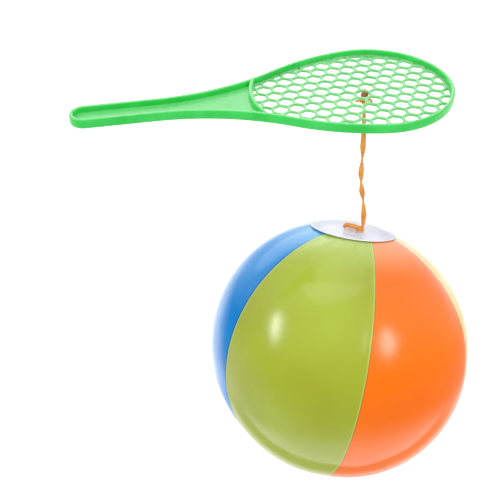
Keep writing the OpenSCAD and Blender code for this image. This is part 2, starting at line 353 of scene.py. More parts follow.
def paper_white():
    """Matt paper that glows a little more far out, so that it meets the white world unseen."""
    paper = bpy.data.materials.new("paper_white")
    tree = blank_tree(paper)
    matt = look(tree, "BsdfDiffuse", {"Color": (0.88, 0.88, 0.89, 1)})
    away = add(tree, "ShaderNodeVectorMath", [own_place(tree)], operation="LENGTH").outputs["Value"]
    lit = []
    for strength in (ramp(away, 1.2, 3.5, 0.5, 0.66), 0.95):
        glow = look(tree, "Emission", {"Color": (1, 1, 1, 1), "Strength": strength})
        lit.append(look(tree, "AddShader", [matt, glow]))
    path, seen = straight_rays(tree)
    pick = look(tree, "MixShader", [seen, matt, lit[0]])
    pick = look(tree, "MixShader", [path["Is Glossy Ray"], pick, lit[1]])
    add(tree, "ShaderNodeOutputMaterial", [pick])
    return paper


def wide_floor():
    mesh = bpy.data.meshes.new("floor")
    half, low = 6.0, -0.45
    corners = [(-half, -half, low), (half, -half, low), (half, half, low), (-half, half, low)]
    mesh.from_pydata(corners, [], [(0, 1, 2, 3)])
    mesh.materials.append(paper_white())
    put("floor", mesh)


def soft_lamp(name, place, size, power, roll=0.0, mirrored=True):
    """A soft oval lamp that shines on the ball."""
    lamp = bpy.data.lights.new(name, "AREA")
    lamp.shape = "ELLIPSE"
    lamp.size, lamp.size_y = size
    lamp.energy = power
    made = put(name, lamp)
    facing = (BALL_AT * MM - Vector(place)).to_track_quat("-Z", "Y").to_matrix().to_4x4()
    made.matrix_world = at(place) @ facing @ turn("Z", roll)
    made.visible_glossy = mirrored


def studio_lamps():
    left = BALL_AT * MM + Vector((-0.868, -0.098, 0.486)) * 1.3
    right = BALL_AT * MM + Vector((0.405, -0.769, 0.495)) * 1.3
    soft_lamp("top_box", (0.1, 0.1, 1.3), (1.5, 1.2), 6.5)
    soft_lamp("top_key", (0.1, 0.05, 1.3), (0.6, 0.6), 5.5, mirrored=False)
    soft_lamp("back_box", (0.15, 1.7, 0.75), (2.6, 1.0), 8.0)
    soft_lamp("left_core", left, (0.16, 0.42), 2.0, 35)
    soft_lamp("left_halo", left * 1.02, (0.34, 0.66), 3.0, 35)
    soft_lamp("right_core", right, (0.3, 0.4), 2.4, -30)
    soft_lamp("right_halo", right * 1.02, (0.56, 0.66), 3.2, -30)


bpy.context.scene.view_settings.view_transform = "Standard"
plain_world()
wide_floor()
studio_lamps()


# Shared surface effects
def carried(tree, label):
    """A number that the mesh carries."""
    return add(tree, "ShaderNodeAttribute", attribute_name=label).outputs["Fac"]


def cloudy(tree, scale, detail):
    return look(tree, "TexNoise", {"Vector": own_place(tree), "Scale": scale, "Detail": detail})


def moulded_grain():
    """Slow shades and fine grain of a moulded or rubber surface."""
    tree, inside, out = new_group(
        "moulded_grain",
        {"Coarse per metre": 60.0, "Fine per metre": 1600.0, "Smooth": 0.24, "Dull": 0.36},
        ["Shade", "Roughness", "Height"])
    coarse = cloudy(tree, inside["Coarse per metre"], 3.0)
    rough = ramp(coarse, 0.3, 0.7, inside["Smooth"], inside["Dull"])
    wire_out(out, coarse, rough, cloudy(tree, inside["Fine per metre"], 2.0))
    return tree


def film_finish():
    """Clouds, fine grain and a few specks of a soft film."""
    tree, inside, out = new_group(
        "film_finish", {"Cloud per metre": 16.0, "Smooth": 0.14, "Dull": 0.19},
        ["Cloud", "Roughness", "Height", "Speck"])
    cloud = cloudy(tree, inside["Cloud per metre"], 4.0)
    rough = ramp(cloud, 0.3, 0.7, inside["Smooth"], inside["Dull"])
    cells = add(tree, "ShaderNodeTexVoronoi",
                {"Vector": own_place(tree), "Scale": 46.0, "Randomness": 1.0}).outputs
    near = ramp(cells["Distance"], 0.02, 0.06, 1.0, 0.0)
    picked = look(tree, "SeparateColor", [cells["Color"]])
    speck = times(near, sums("GREATER_THAN", picked, 0.86))
    wire_out(out, cloud, rough, cloudy(tree, 420.0, 3.0), speck)
    return tree


def weld_line():
    """Masks of a lap weld, of painted shadow past a lap and round the cap and of painted sheen near the
    cap, from the distances to the panel's edge and to the cap, carried in mm.
    """
    tree, inside, out = new_group(
        "weld_line",
        {"Edge mm": 1.2, "Weld mm": 2.0, "Lap mm": 0.7, "Painted sheen mm": 34.0, "Line mm": 0.5},
        ["Lip", "Weld", "Lap shadow", "Cap shadow", "Painted sheen"])
    away = carried(tree, "seam_mm")
    cap = carried(tree, "cap_mm")
    past = minus(away, inside["Lap mm"])
    soft_mm = 0.4
    fades = minus(inside["Line mm"], soft_mm)
    gone = sums("ADD", inside["Line mm"], soft_mm)
    wire_out(out, fade(away, 0.0, inside["Edge mm"]),
             fade(away, inside["Edge mm"], inside["Weld mm"]), fade(past, fades, gone),
             fade(cap, 0.1, 0.9), fade(cap, 0.0, inside["Painted sheen mm"]))
    return tree


def gloss_bands():
    """Where a surface looks up and where it looks down, from the upward part it carries."""
    tree, inside, out = new_group(
        "gloss_bands", {"Girth": 0.3, "Crown": 0.75, "Belly": 0.08, "Foot": -0.22},
        ["High", "Low"])
    height = carried(tree, "high")
    wire_out(out, ramp(height, inside["Girth"], inside["Crown"], soft=True),
             ramp(height, inside["Belly"], inside["Foot"], soft=True))
    return tree


GRAIN = moulded_grain()
FILM = film_finish()
WELD = weld_line()
BANDS = gloss_bands()


def new_material(name, **sockets):
    made = bpy.data.materials.new(name)
    tree = blank_tree(made)
    shader = add(tree, "ShaderNodeBsdfPrincipled", spaced(sockets))
    add(tree, "ShaderNodeOutputMaterial", [shader.outputs[0]])
    return made, tree, shader.inputs


def use_group(tree, group, **values):
    return add(tree, "ShaderNodeGroup", spaced(values), node_tree=group).outputs


def wire(shader, **looks):
    for label, value in spaced(looks).items():
        value.id_data.links.new(value, shader[label])


def mix_colour(factor, first, second):
    return add(factor.id_data, "ShaderNodeMix", {0: factor, 6: first, 7: second},
               data_type="RGBA").outputs[2]


def tinge(colour, mask, share, other):
    """The colour with a share of another where the mask is."""
    return mix_colour(times(mask, share), colour, other)


def bump(height, strength, distance_mm):
    return look(height.id_data, "Bump",
                {"Height": height, "Strength": strength, "Distance": distance_mm * MM})


def moulded_plastic(name, deep, light, top, glow, gloss):
    """Moulded plastic, glossier on the faces that look up, where its colour is also drawn to the top
    tone as a painted sheen, and deep in colour on its walls.
    """
    made, tree, shader = new_material(
        name, Specular_IOR_Level=0.2, Subsurface_Weight=glow, Subsurface_Scale=0.004,
        Subsurface_Radius=(0.35, 1.0, 0.4), Coat_IOR=1.6, Coat_Roughness=0.3)
    grain = use_group(tree, GRAIN)
    up = use_group(tree, BANDS, Crown=0.9)["High"]
    colour = mix_colour(ramp(grain["Shade"], 0.32, 0.68), deep, light)
    # Painted sheen: faces that look up shift towards the top tone
    colour = tinge(colour, up, 0.8, top)
    coat = ramp(up, 0.0, 1.0, 0.1, gloss)
    wire(shader, Base_Color=colour, Roughness=grain["Roughness"], Coat_Weight=coat,
         Normal=bump(grain["Height"], 0.12, 0.05))
    return made


def pvc_film(name, deep, light, edge, sheen_tint, seam="none", girth=0.3, turned=0.8, line_mm=0.5,
             shine=1.0):
    """Glossy soft film; seam tells if its edges lie over or under the next panels, or are bare.

    It shines above the girth, low down, and where it is seen more aslant than turned. Near the top cap
    its upward faces pale towards its sheen tint as a painted sheen, and along lapped edges and round a
    cap's edge it is darkened by painted shadow.
    """
    made, tree, shader = new_material(name, Specular_IOR_Level=0.0, Coat_IOR=1.5, Coat_Roughness=0.19)
    film = use_group(tree, FILM)
    bands = use_group(tree, BANDS, Girth=girth)
    dark = tuple(0.4 * c for c in deep[:3]) + (1.0,)
    colour = mix_colour(ramp(film["Cloud"], 0.3, 0.7), deep, light)
    colour = tinge(colour, film["Speck"], 0.35, dark)
    height = times(film["Height"], 0.3)
    if seam != "none":
        weld = use_group(tree, WELD, Line_mm=line_mm)
        if seam == "over":
            colour = tinge(colour, weld["Weld"], 0.25, light)
            colour = tinge(colour, weld["Lip"], 0.55, edge)
        else:
            # Painted shadow of the upper panel's lip, darkening this panel along its lapped edges
            colour = tinge(colour, weld["Lap shadow"], 0.7, dark)
        # Painted sheen: faces looking up near the top cap pale towards the sheen tint
        pale = times(weld["Painted sheen"], bands["High"])
        colour = tinge(colour, pale, 0.3, sheen_tint)
        # Painted shadow round the raised edge of the cap
        colour = tinge(colour, weld["Cap shadow"], 0.15, dark)
        height = sums("ADD", height, weld["Weld"])
    facing = add(tree, "ShaderNodeLayerWeight", {"Blend": 0.5}).outputs["Facing"]
    aslant = ramp(facing, turned, turned + 0.2, 0.0, shine, soft=True)
    gloss = sums("MAXIMUM", aslant, sums("MAXIMUM", bands["High"], bands["Low"]))
    rise = ramp(facing, 0.56, 0.63, soft=True)
    fall = ramp(facing, 0.7, 0.82, 1.0, 0.6, soft=True)
    line = times(times(rise, fall), bands["Low"])
    gloss = ramp(gloss, 0.0, 1.0, 0.2, 1.0)
    coat = times(gloss, ramp(line, 0.0, 1.0, 1.0, 0.22))
    wire(shader, Base_Color=colour, Roughness=film["Roughness"], Coat_Weight=coat,
         Normal=bump(height, 0.1, 0.08))
    return made


def cap_film():
    """Milky film that lets a little of the panels through, white and opaque at its cut edge, partly the
    film's own edge and partly a painted highlight.
    """
    made, tree, shader = new_material("cap_film", IOR=1.52, Specular_IOR_Level=0.4)
    film = use_group(tree, FILM)
    away = carried(tree, "seam_mm")
    rim = fade(away, 0.1, 0.8)
    press = fade(sums("ABSOLUTE", minus(away, CAP_R - PRESS_R)), 0.2, 1.3)
    cloud = ramp(film["Cloud"], 0.3, 0.7)
    colour = mix_colour(cloud, tint(226, 227, 248), tint(240, 240, 252))
    colour = tinge(colour, press, 0.35, tint(214, 216, 238))
    see = ramp(cloud, 0.0, 1.0, 0.8, 0.88)
    # White cut edge: partly the film's own edge, partly a painted highlight
    colour = mix_colour(rim, colour, BARE_WHITE)
    wire(shader, Base_Color=colour, Roughness=film["Roughness"],
         Alpha=sums("MAXIMUM", see, rim), Normal=bump(film["Height"], 0.1, 0.05))
    return made


def band_rubber():
    """Stretched rubber, with painted shade darkening the turns that lie under the lattice."""
    made, tree, shader = new_material("band_rubber", IOR=1.5, Subsurface_Weight=0.25,
                                      Subsurface_Scale=0.0015, Subsurface_Radius=(1.0, 0.45, 0.15))
    grain = use_group(tree, GRAIN, Coarse_per_metre=220.0, Fine_per_metre=2600.0,
                      Smooth=0.42, Dull=0.62)
    shade = ramp(grain["Shade"], 0.3, 0.7)
    colour = mix_colour(shade, tint(226, 138, 44), tint(246, 176, 84))
    # Painted shade: the marked turns under the lattice are darkened
    colour = mix_colour(carried(tree, "painted_shade"), colour, tint(150, 96, 26))
    wire(shader, Base_Color=colour, Roughness=grain["Roughness"],
         Normal=bump(grain["Height"], 0.3, 0.08))
    return made


def clear_film():
    made, tree, shader = new_material("clear_film", IOR=1.5, Coat_Weight=0.4, Coat_Roughness=0.05,
                                      Alpha=0.2)
    film = use_group(tree, FILM, Smooth=0.06, Dull=0.14)
    colour = mix_colour(film["Cloud"], tint(236, 236, 246), tint(250, 250, 255))
    wire(shader, Base_Color=colour, Roughness=film["Roughness"])
    return made


BARE_WHITE = tint(255, 255, 255)
# The third colour of each plastic is its top tone, a painted sheen on faces that look up
GREEN = moulded_plastic("paddle_green", tint(38, 203, 74), tint(66, 218, 98),
                        tint(88, 184, 102), 0.2, 1.0)
LATTICE_GREEN = moulded_plastic("lattice_green", tint(108, 198, 118), tint(138, 214, 144),
                                tint(112, 186, 120), 0.3, 0.8)
LIME = pvc_film("lime_film", tint(160, 169, 44), tint(171, 187, 55), tint(192, 230, 145),
                tint(227, 255, 188), "over", turned=0.15, shine=0.5)
ORANGE = pvc_film("orange_film", tint(255, 112, 8), tint(255, 125, 20), tint(255, 160, 80),
                  tint(255, 236, 203), "under")
YELLOW = pvc_film("yellow_film", tint(239, 215, 140), tint(242, 223, 168), tint(244, 232, 200),
                  BARE_WHITE, "over")
RED = pvc_film("red_film", tint(206, 26, 30), tint(222, 42, 40), tint(238, 110, 100),
               tint(255, 214, 206), "under")
WHITE = pvc_film("white_film", tint(228, 228, 233), tint(240, 240, 243), tint(250, 250, 250),
                 BARE_WHITE, "over")
BLUE = pvc_film("blue_film", tint(0, 126, 205), tint(4, 146, 222), tint(120, 200, 230),
                tint(180, 238, 255), "under", girth=0.5, turned=0.48, line_mm=1.4)
VALVE_WHITE = pvc_film("valve_film", tint(226, 226, 236), tint(238, 238, 246), BARE_WHITE, BARE_WHITE)
CAP_WHITE = cap_film()
RUBBER = band_rubber()
CLEAR = clear_film()


# Paddle: outline curves as the part draws them
def arc(centre, radius, start, stop, step=1.5):
    count = ceil(abs(stop - start) / step)
    angles = [deg(start + (stop - start) * k / count) for k in range(1, count + 1)]
    return [(centre[0] + radius * cos(a), centre[1] + radius * sin(a)) for a in angles]


FLANK_AT = (HEAD_REACH - (FLANK_R - HEAD_R) * cos(deg(FLANK_FROM)),
            -(FLANK_R - HEAD_R) * sin(deg(FLANK_FROM)))
NECK_Y = HANDLE_R + NECK_R
NECK_AT = (FLANK_AT[0] - sqrt((FLANK_R + NECK_R) ** 2 - (NECK_Y - FLANK_AT[1]) ** 2), NECK_Y)
NECK_A = degrees(atan2(NECK_AT[1] - FLANK_AT[1], NECK_AT[0] - FLANK_AT[0]))
THROAT_AT = (THROAT_X + THROAT_R, 0.0)


def outline(inset):
    half = arc((HEAD_REACH, 0), HEAD_R - inset, 0, FLANK_FROM)
    half += arc(FLANK_AT, FLANK_R - inset, FLANK_FROM, NECK_A)
    half += arc(NECK_AT, NECK_R + inset, NECK_A - 180, -90)
    half += arc((HANDLE_R - HANDLE_BACK, 0), HANDLE_R - inset, 90, 178, 6)
    return half + [(x, -y) for x, y in reversed(half)]


def beyond_throat(x, y, inset):
    return x > THROAT_AT[0] or hypot(x - THROAT_AT[0], y) < THROAT_R - inset


def throat_arc(inset):
    """The throat ring's line between the two places where it meets the outline."""
    half = [p for p in outline(inset) if p[1] > 0 and 0 < p[0] < THROAT_AT[0]]
    meet = min(half, key=lambda p: abs(hypot(p[0] - THROAT_AT[0], p[1]) - (THROAT_R - inset)))
    start = degrees(atan2(meet[1], meet[0] - THROAT_AT[0]))
    return arc(THROAT_AT, THROAT_R - inset, start, 360 - start)


def head_inside(inset):
    rim = [p for p in outline(inset) if p[0] > HEAD_REACH - HEAD_R and beyond_throat(*p, inset)]
    upper = [p for p in rim if p[1] > 0]
    lower = [p for p in rim if p[1] < 0]
    return upper + throat_arc(inset)[1:-1] + lower


def handle_web(inset):
    rim = [p for p in outline(inset) if p[0] < HEAD_REACH and not beyond_throat(*p, inset)]
    return rim + list(reversed(throat_arc(inset)))


def in_head(x, y, inset):
    if x > HEAD_REACH + HEAD_R * cos(deg(FLANK_FROM)):
        half = sqrt(max(0.0, (HEAD_R - inset) ** 2 - (x - HEAD_REACH) ** 2))
    else:
        half = FLANK_AT[1] + sqrt(max(0.0, (FLANK_R - inset) ** 2 - (x - FLANK_AT[0]) ** 2))
    return abs(y) < half and x < HEAD_REACH + HEAD_R - inset and beyond_throat(x, y, inset)


def hole_centres():
    found = []
    row_h = HEX_PITCH * sqrt(3) / 2
    rows, columns = 8, 13
    for row in range(-rows, rows + 1):
        for column in range(-columns, columns + 1):
            x = HANG_X - HEX_PITCH / 4 + column * HEX_PITCH + (abs(row) % 2) * HEX_PITCH / 2
            y = HANG_Y - row_h / 2 + row * row_h
            if in_head(x, y, RIM_T + LATTICE_EDGE - HOLE_KEEP):
                found.append((x, y, 0.0))
    return found


# Geometry trees
def spot(tree):
    return add(tree, "ShaderNodeSeparateXYZ", [geo(tree, "InputPosition")]).outputs


def feed(node, socket, *shapes):
    """Links several shapes into one socket of a node."""
    for shape in shapes:
        node.id_data.links.new(shape, node.inputs[socket])
    return node.outputs[0]


def raised(shape, rise):
    lift = look(shape.id_data, "CombineXYZ", {"Z": rise})
    return geo(shape.id_data, "Transform", {"Geometry": shape, "Translation": lift})


def parted(shape, mark, domain="POINT"):
    """What carries a mark, and the rest."""
    tree = shape.id_data
    return add(tree, "GeometryNodeSeparateGeometry",
               {"Geometry": shape, "Selection": named(tree, mark, "BOOLEAN")}, domain=domain).outputs


def dress(inside, out, shape):
    """Ends a geometry tree with one real mesh in its material."""
    tree = shape.id_data
    whole = geo(tree, "RealizeInstances", {"Geometry": shape})
    wire_out(out, geo(tree, "SetMaterial", {"Geometry": whole, "Material": inside["Material"]}))
    return tree


def slab(flat, thickness):
    """Nodes that turn flat faces into a closed plate, centred on its plane."""
    tree = flat.id_data
    low = raised(flat, times(thickness, -0.5))
    walls = geo(tree, "ExtrudeMesh", {"Mesh": low, "Offset Scale": thickness, "Individual": False})
    under = geo(tree, "FlipFaces", {"Mesh": low})
    both = feed(add(tree, "GeometryNodeJoinGeometry"), 0, walls, under)
    return geo(tree, "MergeByDistance", {"Geometry": both, "Distance": 0.001})


def cut_cells(tree, inside):
    """Nodes for one hole of the honeycomb: a six-sided cutter with round corners and flared ends."""
    apothem = times(minus(inside["Pitch"], inside["Wall"]), 0.5)
    bands = 7
    blank = geo(tree, "MeshCylinder",
                {"Vertices": 48, "Side Segments": bands, "Radius": 1.0, "Depth": 2.0}, fill_type="NGON")
    place = spot(tree)
    angle = sums("ARCTAN2", place[1], place[0])
    off_flat = sums("ABSOLUTE", sums("WRAP", angle, deg(30), deg(-30)))
    flat = sums("DIVIDE", apothem, sums("COSINE", off_flat))
    round_in = minus(apothem, inside["Corner radius"])
    centre = sums("DIVIDE", round_in, cos(deg(30)))
    off_corner = minus(deg(30), off_flat)
    across = times(centre, sums("SINE", off_corner))
    squares = minus(sums("POWER", inside["Corner radius"], 2.0), sums("POWER", across, 2.0))
    reach = sums("SQRT", squares)
    corner = sums("ADD", times(centre, sums("COSINE", off_corner)), reach)
    tangent = sums("ARCTAN2", times(round_in, tan(deg(30))), apothem)
    at_corner = sums("GREATER_THAN", off_flat, tangent)
    ring = look(tree, "Mix", {0: at_corner, 2: flat, 3: corner})
    level = sums("ABSOLUTE", place[2])
    bend = times(ramp(level, 1 / bands, 1.0), deg(90))
    flare = times(inside["Edge round"], minus(1.0, sums("COSINE", bend)))
    sunk = times(inside["Edge round"], minus(1.0, sums("SINE", bend)))
    top = minus(times(inside["Thickness"], 0.5), sunk)
    height = times(sums("SIGN", place[2]), top)
    radius = sums("ADD", ring, flare)
    round_it = [times(radius, sums(part, angle)) for part in ("COSINE", "SINE")]
    moved = look(tree, "CombineXYZ", round_it + [height])
    return geo(tree, "SetPosition", {"Geometry": blank, "Position": moved})


def honeycomb_tree():
    """A plate with a hole at each marked point, cut only inside the field's line."""
    tree, inside, out = new_group("honeycomb_plate", {
        "Pitch": 9.2, "Wall": 1.5, "Thickness": 1.5, "Corner radius": 0.95, "Edge round": 0.3})
    shy_mm = 0.03
    points = parted(inside["Geometry"], "hole")
    flats = parted(points[1], "field", "FACE")
    plate = slab(flats[1], minus(inside["Thickness"], shy_mm))
    field = slab(flats[0], times(inside["Thickness"], 3.0))
    dots = geo(tree, "MeshToPoints", {"Mesh": points[0]})
    cells = geo(tree, "InstanceOnPoints", {"Points": dots, "Instance": cut_cells(tree, inside)})
    cutters = geo(tree, "RealizeInstances", {"Geometry": cells})
    clip = add(tree, "GeometryNodeMeshBoolean", operation="INTERSECT", solver="EXACT")
    clipped = feed(clip, 1, cutters, field)
    cut = geo(tree, "MeshBoolean", [plate, clipped], operation="DIFFERENCE", solver="EXACT")
    return dress(inside, out, cut)


def rim_tree():
    """A rounded rim along the marked lines, with a flat web where its face is marked."""
    tree, inside, out = new_group("moulded_rim", {
        "Rim width": 2.2, "Rim height": 5.0, "Edge radius": 0.8, "Lift": 1.3, "Web": 1.6})
    lines = parted(inside["Geometry"], "web")
    section = geo(tree, "CurvePrimitiveQuadrilateral",
                  {"Width": inside["Rim width"], "Height": inside["Rim height"]})
    soft = geo(tree, "FilletCurve",
               {"Curve": section, "Count": 5, "Radius": inside["Edge radius"]}, mode="POLY")
    swept = []
    for mark in ("ring", "rim"):
        marked = parted(lines[1], mark)[0]
        curve = geo(tree, "MeshToCurve", {"Mesh": marked})
        level = geo(tree, "SetCurveNormal", {"Curve": curve}, mode="Z_UP")
        tube = geo(tree, "CurveToMesh", {"Curve": level, "Profile Curve": soft, "Fill Caps": True})
        swept.append(raised(tube, inside["Lift"]))
    fuse = add(tree, "GeometryNodeMeshBoolean", operation="UNION", solver="EXACT")
    fused = feed(fuse, 1, *swept, slab(lines[0], inside["Web"]))
    return dress(inside, out, fused)


def strand_tree():
    """A rubber strand along a line of points, turned about it by the angle each point carries."""
    tree, inside, out = new_group("rubber_strand", {
        "Width": 3.2, "Thickness": 1.6, "Groove": 0.35, "Step": 0.35})
    line = geo(tree, "MeshToCurve", {"Mesh": inside["Geometry"]})
    even = geo(tree, "ResampleCurve", {"Curve": line, "Length": inside["Step"]}, mode="LENGTH")
    tilted = geo(tree, "SetCurveTilt", {"Curve": even, "Tilt": named(tree, "twist")})
    blank = geo(tree, "CurvePrimitiveCircle", {"Resolution": 20, "Radius": 1.0}, mode="RADIUS")
    place = spot(tree)
    middle = sums("POWER", minus(1.0, sums("ABSOLUTE", place[0])), 2.0)
    waist = minus(1.0, times(middle, inside["Groove"]))
    across = times(place[0], times(inside["Width"], 0.5))
    deep = times(times(place[1], times(inside["Thickness"], 0.5)), waist)
    shaped = look(tree, "CombineXYZ", [across, deep, 0.0])
    section = geo(tree, "SetPosition", {"Geometry": blank, "Position": shaped})
    tube = geo(tree, "CurveToMesh", {"Curve": tilted, "Profile Curve": section, "Fill Caps": True})
    return dress(inside, out, tube)


def loop_edges(first, count, closed):
    chain = [(first + k, first + k + 1) for k in range(count - 1)]
    return chain + [(first + count - 1, first)] if closed else chain


def moulded(name, mesh, node):
    """Puts a moulding of the paddle in place, each corner marked with how far up it faces."""
    smooth(mesh, 35)
    made = piece(name, mesh, HELD)
    facing = [corner.vector.z for corner in mesh.corner_normals]
    mesh.attributes.new("high", "FLOAT", "CORNER").data.foreach_set("value", facing)
    finished(made, "paddle", node)


def make_paddle():
    web_line = handle_web(RIM_T / 2)
    rim_line = outline(RIM_T / 2)
    ring_line = throat_arc(RIM_T / 2)
    points = [(x, y, 0.0) for x, y in web_line + rim_line + ring_line]
    a, b, c = len(web_line), len(rim_line), len(ring_line)
    edges = loop_edges(a, b, True) + loop_edges(a + b, c, False)
    runs = ["web"] * a + ["rim"] * b + ["ring"] * c
    marks = [(label, "BOOLEAN", "POINT", [run == label for run in runs])
             for label in ("web", "rim", "ring")]
    values = {"Rim width": RIM_T, "Rim height": RIM_UP + RIM_DOWN, "Lift": (RIM_UP - RIM_DOWN) / 2,
              "Web": WEB_T, "Material": GREEN}
    mesh = grow("paddle_rim", rim_tree(), points, edges, [tuple(range(a))], values, marks)
    moulded("paddle_rim", mesh, "paddle_frame")

    plate_line = head_inside(RIM_T / 2)
    field_line = head_inside(RIM_T + LATTICE_EDGE)
    dots = hole_centres()
    points = [(x, y, 0.0) for x, y in plate_line + field_line] + dots
    a, b, c = len(plate_line), len(field_line), len(dots)
    marks = [("hole", "BOOLEAN", "POINT", [False] * (a + b) + [True] * c),
             ("field", "BOOLEAN", "FACE", [False, True])]
    faces = [tuple(range(a)), tuple(range(a, a + b))]
    values = {"Pitch": HEX_PITCH, "Wall": HEX_WALL, "Thickness": LATTICE_T, "Material": LATTICE_GREEN}
    mesh = grow("honeycomb", honeycomb_tree(), points, [], faces, values, marks)
    moulded("honeycomb", mesh, "honeycomb_face")


make_paddle()


# Rubber band
STRAND = strand_tree()


def strand(name, line, closed, width, thickness, groove=0.0, twist=None):
    count = len(line)
    marks = [("twist", "FLOAT", "POINT", twist or [0.0] * count)]
    values = {"Width": width, "Thickness": thickness, "Groove": groove, "Material": RUBBER}
    mesh = grow(name, STRAND, line, loop_edges(0, count, closed), [], values, marks)
    smooth(mesh)
    return mesh


def joined(name, meshes, painted_shade=()):
    """Several meshes as one; those that lie under the lattice are marked, for the rubber's painted
    shade.
    """
    points, faces, shade_marks = [], [], []
    for mesh in meshes:
        first = len(points)
        shade_marks += [1.0 if mesh in painted_shade else 0.0] * len(mesh.vertices)
        points += [tuple(v.co) for v in mesh.vertices]
        faces += [tuple(first + k for k in f.vertices) for f in mesh.polygons]
    made = bpy.data.meshes.new(name)
    made.from_pydata(points, [], faces)
    made.attributes.new("painted_shade", "FLOAT", "POINT").data.foreach_set("value", shade_marks)
    made.shade_smooth()
    return made


def tied(name, strands, place, body, node, painted_shade=()):
    """A piece of the band made of several strands, in its place."""
    made = piece(name, joined(name, strands, painted_shade), place, RUBBER)
    return finished(made, body, node)


def knot_line(size, lift, count=90):
    """An overhand knot pulled snug, as a closed three-leaved line."""
    line = []
    for k in range(count):
        t = 2 * pi * k / count
        line.append((size * (sin(t) + 2 * sin(2 * t)) / 3,
                     size * (cos(t) - 2 * cos(2 * t)) / 3,
                     -lift * sin(3 * t)))
    return line


def smooth_line(corners, count):
    """A smooth line through given points."""
    pts = [Vector(c) for c in corners]
    pts = [2 * pts[0] - pts[1]] + pts + [2 * pts[-1] - pts[-2]]
    line = []
    for k in range(1, len(pts) - 2):
        for j in range(count):
            t = j / count
            p0, p1, p2, p3 = pts[k - 1], pts[k], pts[k + 1], pts[k + 2]
            line.append(0.5 * (2 * p1 + (p2 - p0) * t + (2 * p0 - 5 * p1 + 4 * p2 - p3) * t * t
                               + (3 * p1 - p0 - 3 * p2 + p3) * t ** 3))
    line.append(pts[-2])
    return line


def between(share, table):
    """A value read between the rows of a table of (share, value)."""
    return float(np.interp(share, [row[0] for row in table], [row[1] for row in table]))


def make_loop():
    """Two snug turns of the band round one slanting wall of the lattice, gathered in a collar of turns
    under it.
    """
    ring_d, ring_steps, ring_drop = 0.5, 48, 0.6
    rings = []
    for side in (-0.5, 0.5):
        line = []
        for k in range(ring_steps):
            a = 2 * pi * k / ring_steps
            reach = TIE_R if sin(a) > 0 else LOOP_R + ring_drop
            line.append((TIE_R * cos(a), side * (1 - 0.25 * sin(a)), reach * sin(a)))
        rings.append(strand("ring", line, True, ring_d, ring_d))
    collar_d, collar_steps, per_turn = 1.0, 96, 24
    collar = []
    for k in range(collar_steps + 1):
        a = 2 * pi * k / per_turn
        share = k / collar_steps
        wide = 1 + 0.25 * share
        collar.append((2.0 * wide * cos(a), 1.45 * wide * sin(a), -1.4 - 1.2 * share))
    rings.append(strand("collar", collar, False, collar_d, collar_d))
    place = at(HANG_AT) @ turn("Z", WALL_A)
    # The collar, the last strand, is marked for painted shade
    return tied("band_loop", rings, place, "loop", "upper_loop", rings[-1:])


def make_knots():
    knot = [strand("knot", knot_line(2.5, 0.9), True, 1.7, 1.6)]
    tails = [[(0.6, 0, 0.3), (-1.8, -0.6, 0.6), (-3.8, -1.2, 0.7), (-5.6, -1.6, 0.8)],
             [(-0.6, 0, 0.2), (1.8, 0.4, 0.4), (3.5, 0.9, 0.3), (4.4, 1.2, -0.8), (5.0, 1.3, -2.4)]]
    for tail, wide in zip(tails, (1.8, 2.5)):
        knot.append(strand("tail", smooth_line(tail, 8), False, wide, 1.3))
    top_knot = tied("top_knot", knot, at(UPPER_KNOT_AT), "knot", "upper_knot")
    low = [strand("knot", knot_line(1.75, 0.8), True, 1.35, 1.3)]
    place = at(LOWER_KNOT_AT) @ turn("X", 35) @ turn("Z", 20)
    return [top_knot, tied("low_knot", low, place, "ball_knot", "lower_knot")]


def make_band(ends):
    """The doubled band between its knots, with the drift and turn it hangs with."""
    drift = [(0.0, 0.0), (0.25, 0.0), (0.41, -0.5), (0.55, -1.1), (0.62, -1.0),
             (0.7, -0.2), (0.8, 0.8), (0.9, 1.4), (0.97, 1.2), (1.0, 0.8)]
    turns = [(0.0, -60), (0.3, 0), (0.4, 90), (0.52, 180), (0.605, 270),
             (0.685, 360), (0.766, 450), (0.88, 540), (1.0, 630)]
    steps = 80
    line, twist = [], []
    for k in range(steps + 1):
        share = k / steps
        level = CORD_TOP + (CORD_LOW - CORD_TOP) * share
        line.append((HANG_AT.x + between(share, drift), HANG_AT.y, level))
        twist.append(deg(between(share, turns)))
    mesh = strand("elastic_band", line, False, BAND_SEEN_W, BAND_T, BAND_GROOVE, twist)
    band = piece("elastic_band", mesh, Matrix.Identity(4))
    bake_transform(band)
    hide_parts("elastic_cord")


def make_end_loop():
    """The band's end loop, two strands round the clear strap."""
    apart, wide, thick = 1.05, 1.35, 1.25
    tuck, straight, turn_x = KNOT_OUT - 1.2, KNOT_OUT - 3.0, -STRAP_W / 2
    half = (LOOP_HIGH - LOOP_LOW) / 2
    bends = []
    for side in (-apart, apart):
        line = [(tuck, side * 0.4, LOOP_HIGH - 0.3), (straight, side, LOOP_HIGH),
                (0.0, side, LOOP_HIGH + 0.1), (turn_x, side, LOOP_HIGH)]
        for k in range(1, 6):
            a = deg(90 + 30 * k)
            line.append((turn_x - 0.1 + half * cos(a), side, LOOP_MID + half * sin(a)))
        line += [(turn_x, side, LOOP_LOW), (0.0, side, LOOP_LOW), (straight, side, LOOP_LOW),
                 (tuck, side * 0.4, LOOP_LOW + 0.2)]
        bends.append(strand("bend", smooth_line(line, 6), False, wide, thick))
    place = AT_STRAP @ at((0, 0, CAP_OUT))
    return tied("end_loop", bends, place, "ball", "strap_loop")


make_band([make_loop(), make_end_loop()] + make_knots())


